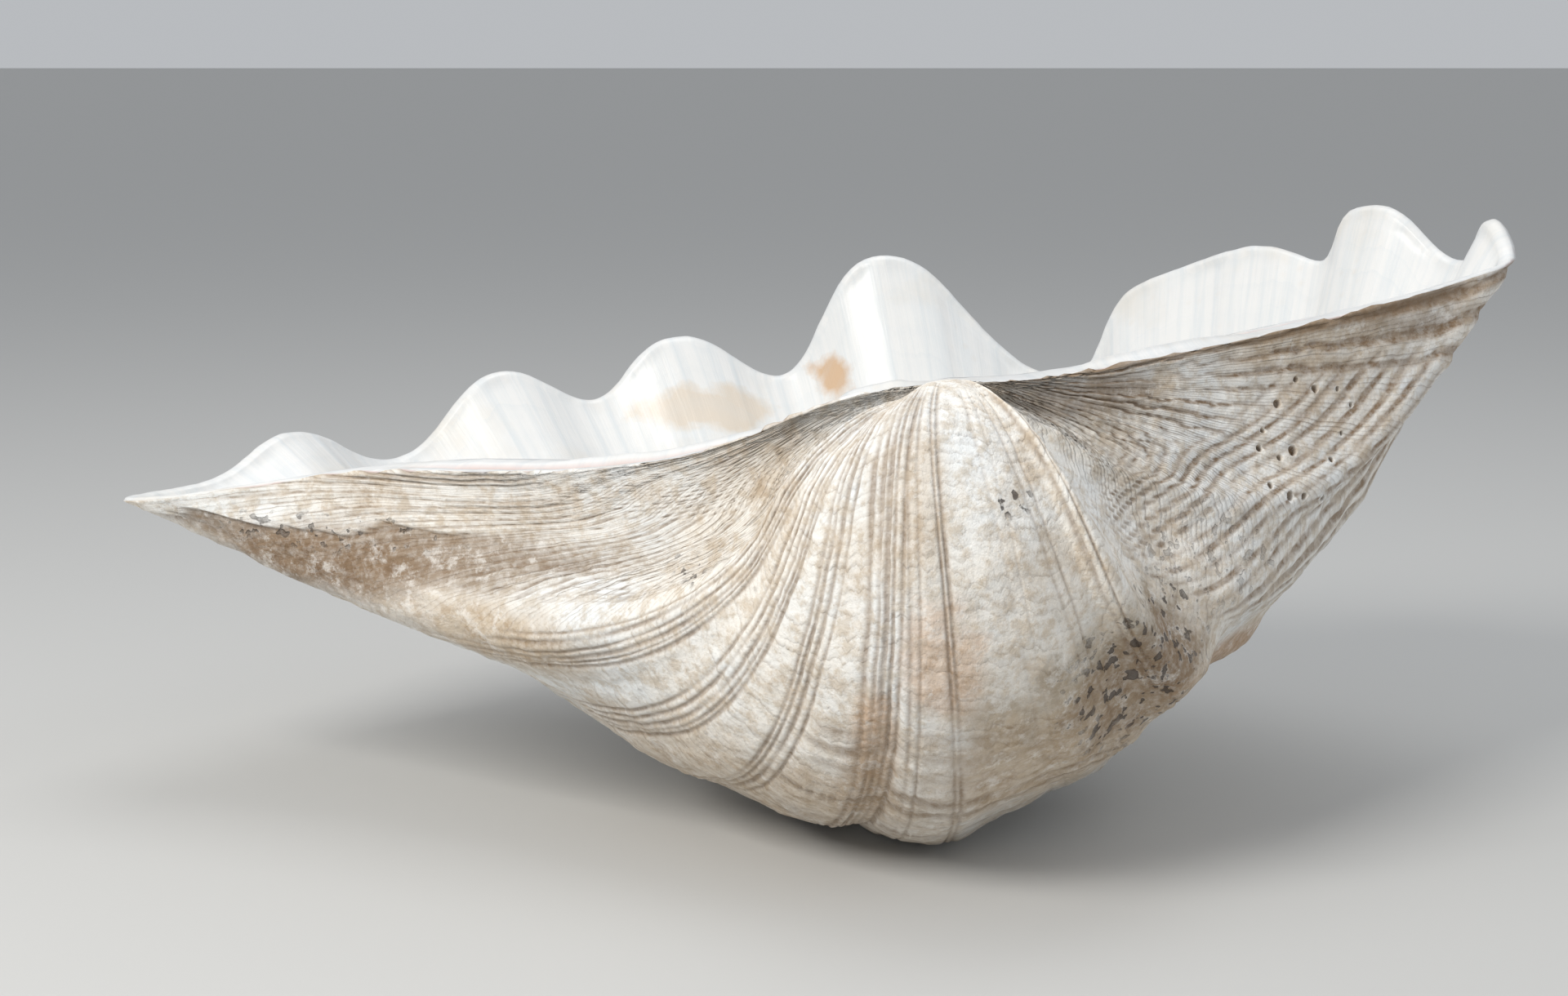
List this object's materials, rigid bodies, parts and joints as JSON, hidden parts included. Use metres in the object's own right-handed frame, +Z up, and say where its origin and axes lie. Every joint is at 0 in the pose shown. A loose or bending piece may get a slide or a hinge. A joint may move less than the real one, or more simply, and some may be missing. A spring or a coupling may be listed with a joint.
{
  "type": "giant clam shell valve",
  "caption": "Single fan-shaped giant clam valve resting on its rounded back, with a deep white hollow, folded ribs, a curled beak and a scalloped upper edge.",
  "frame": {"origin": "middle of the outline seen from above, at the height of the surface the valve lies on", "axes": "+X along the hinge to the raised end, +Y from the hinge to the scalloped edge, +Z up"},
  "size_m": [0.4408, 0.322, 0.1842],
  "materials": {
    "shell": "chalky, weathered calcium carbonate"
  },
  "bodies": {
    "root": {"shell_valve": "shell"}
  },
  "joints": []
}
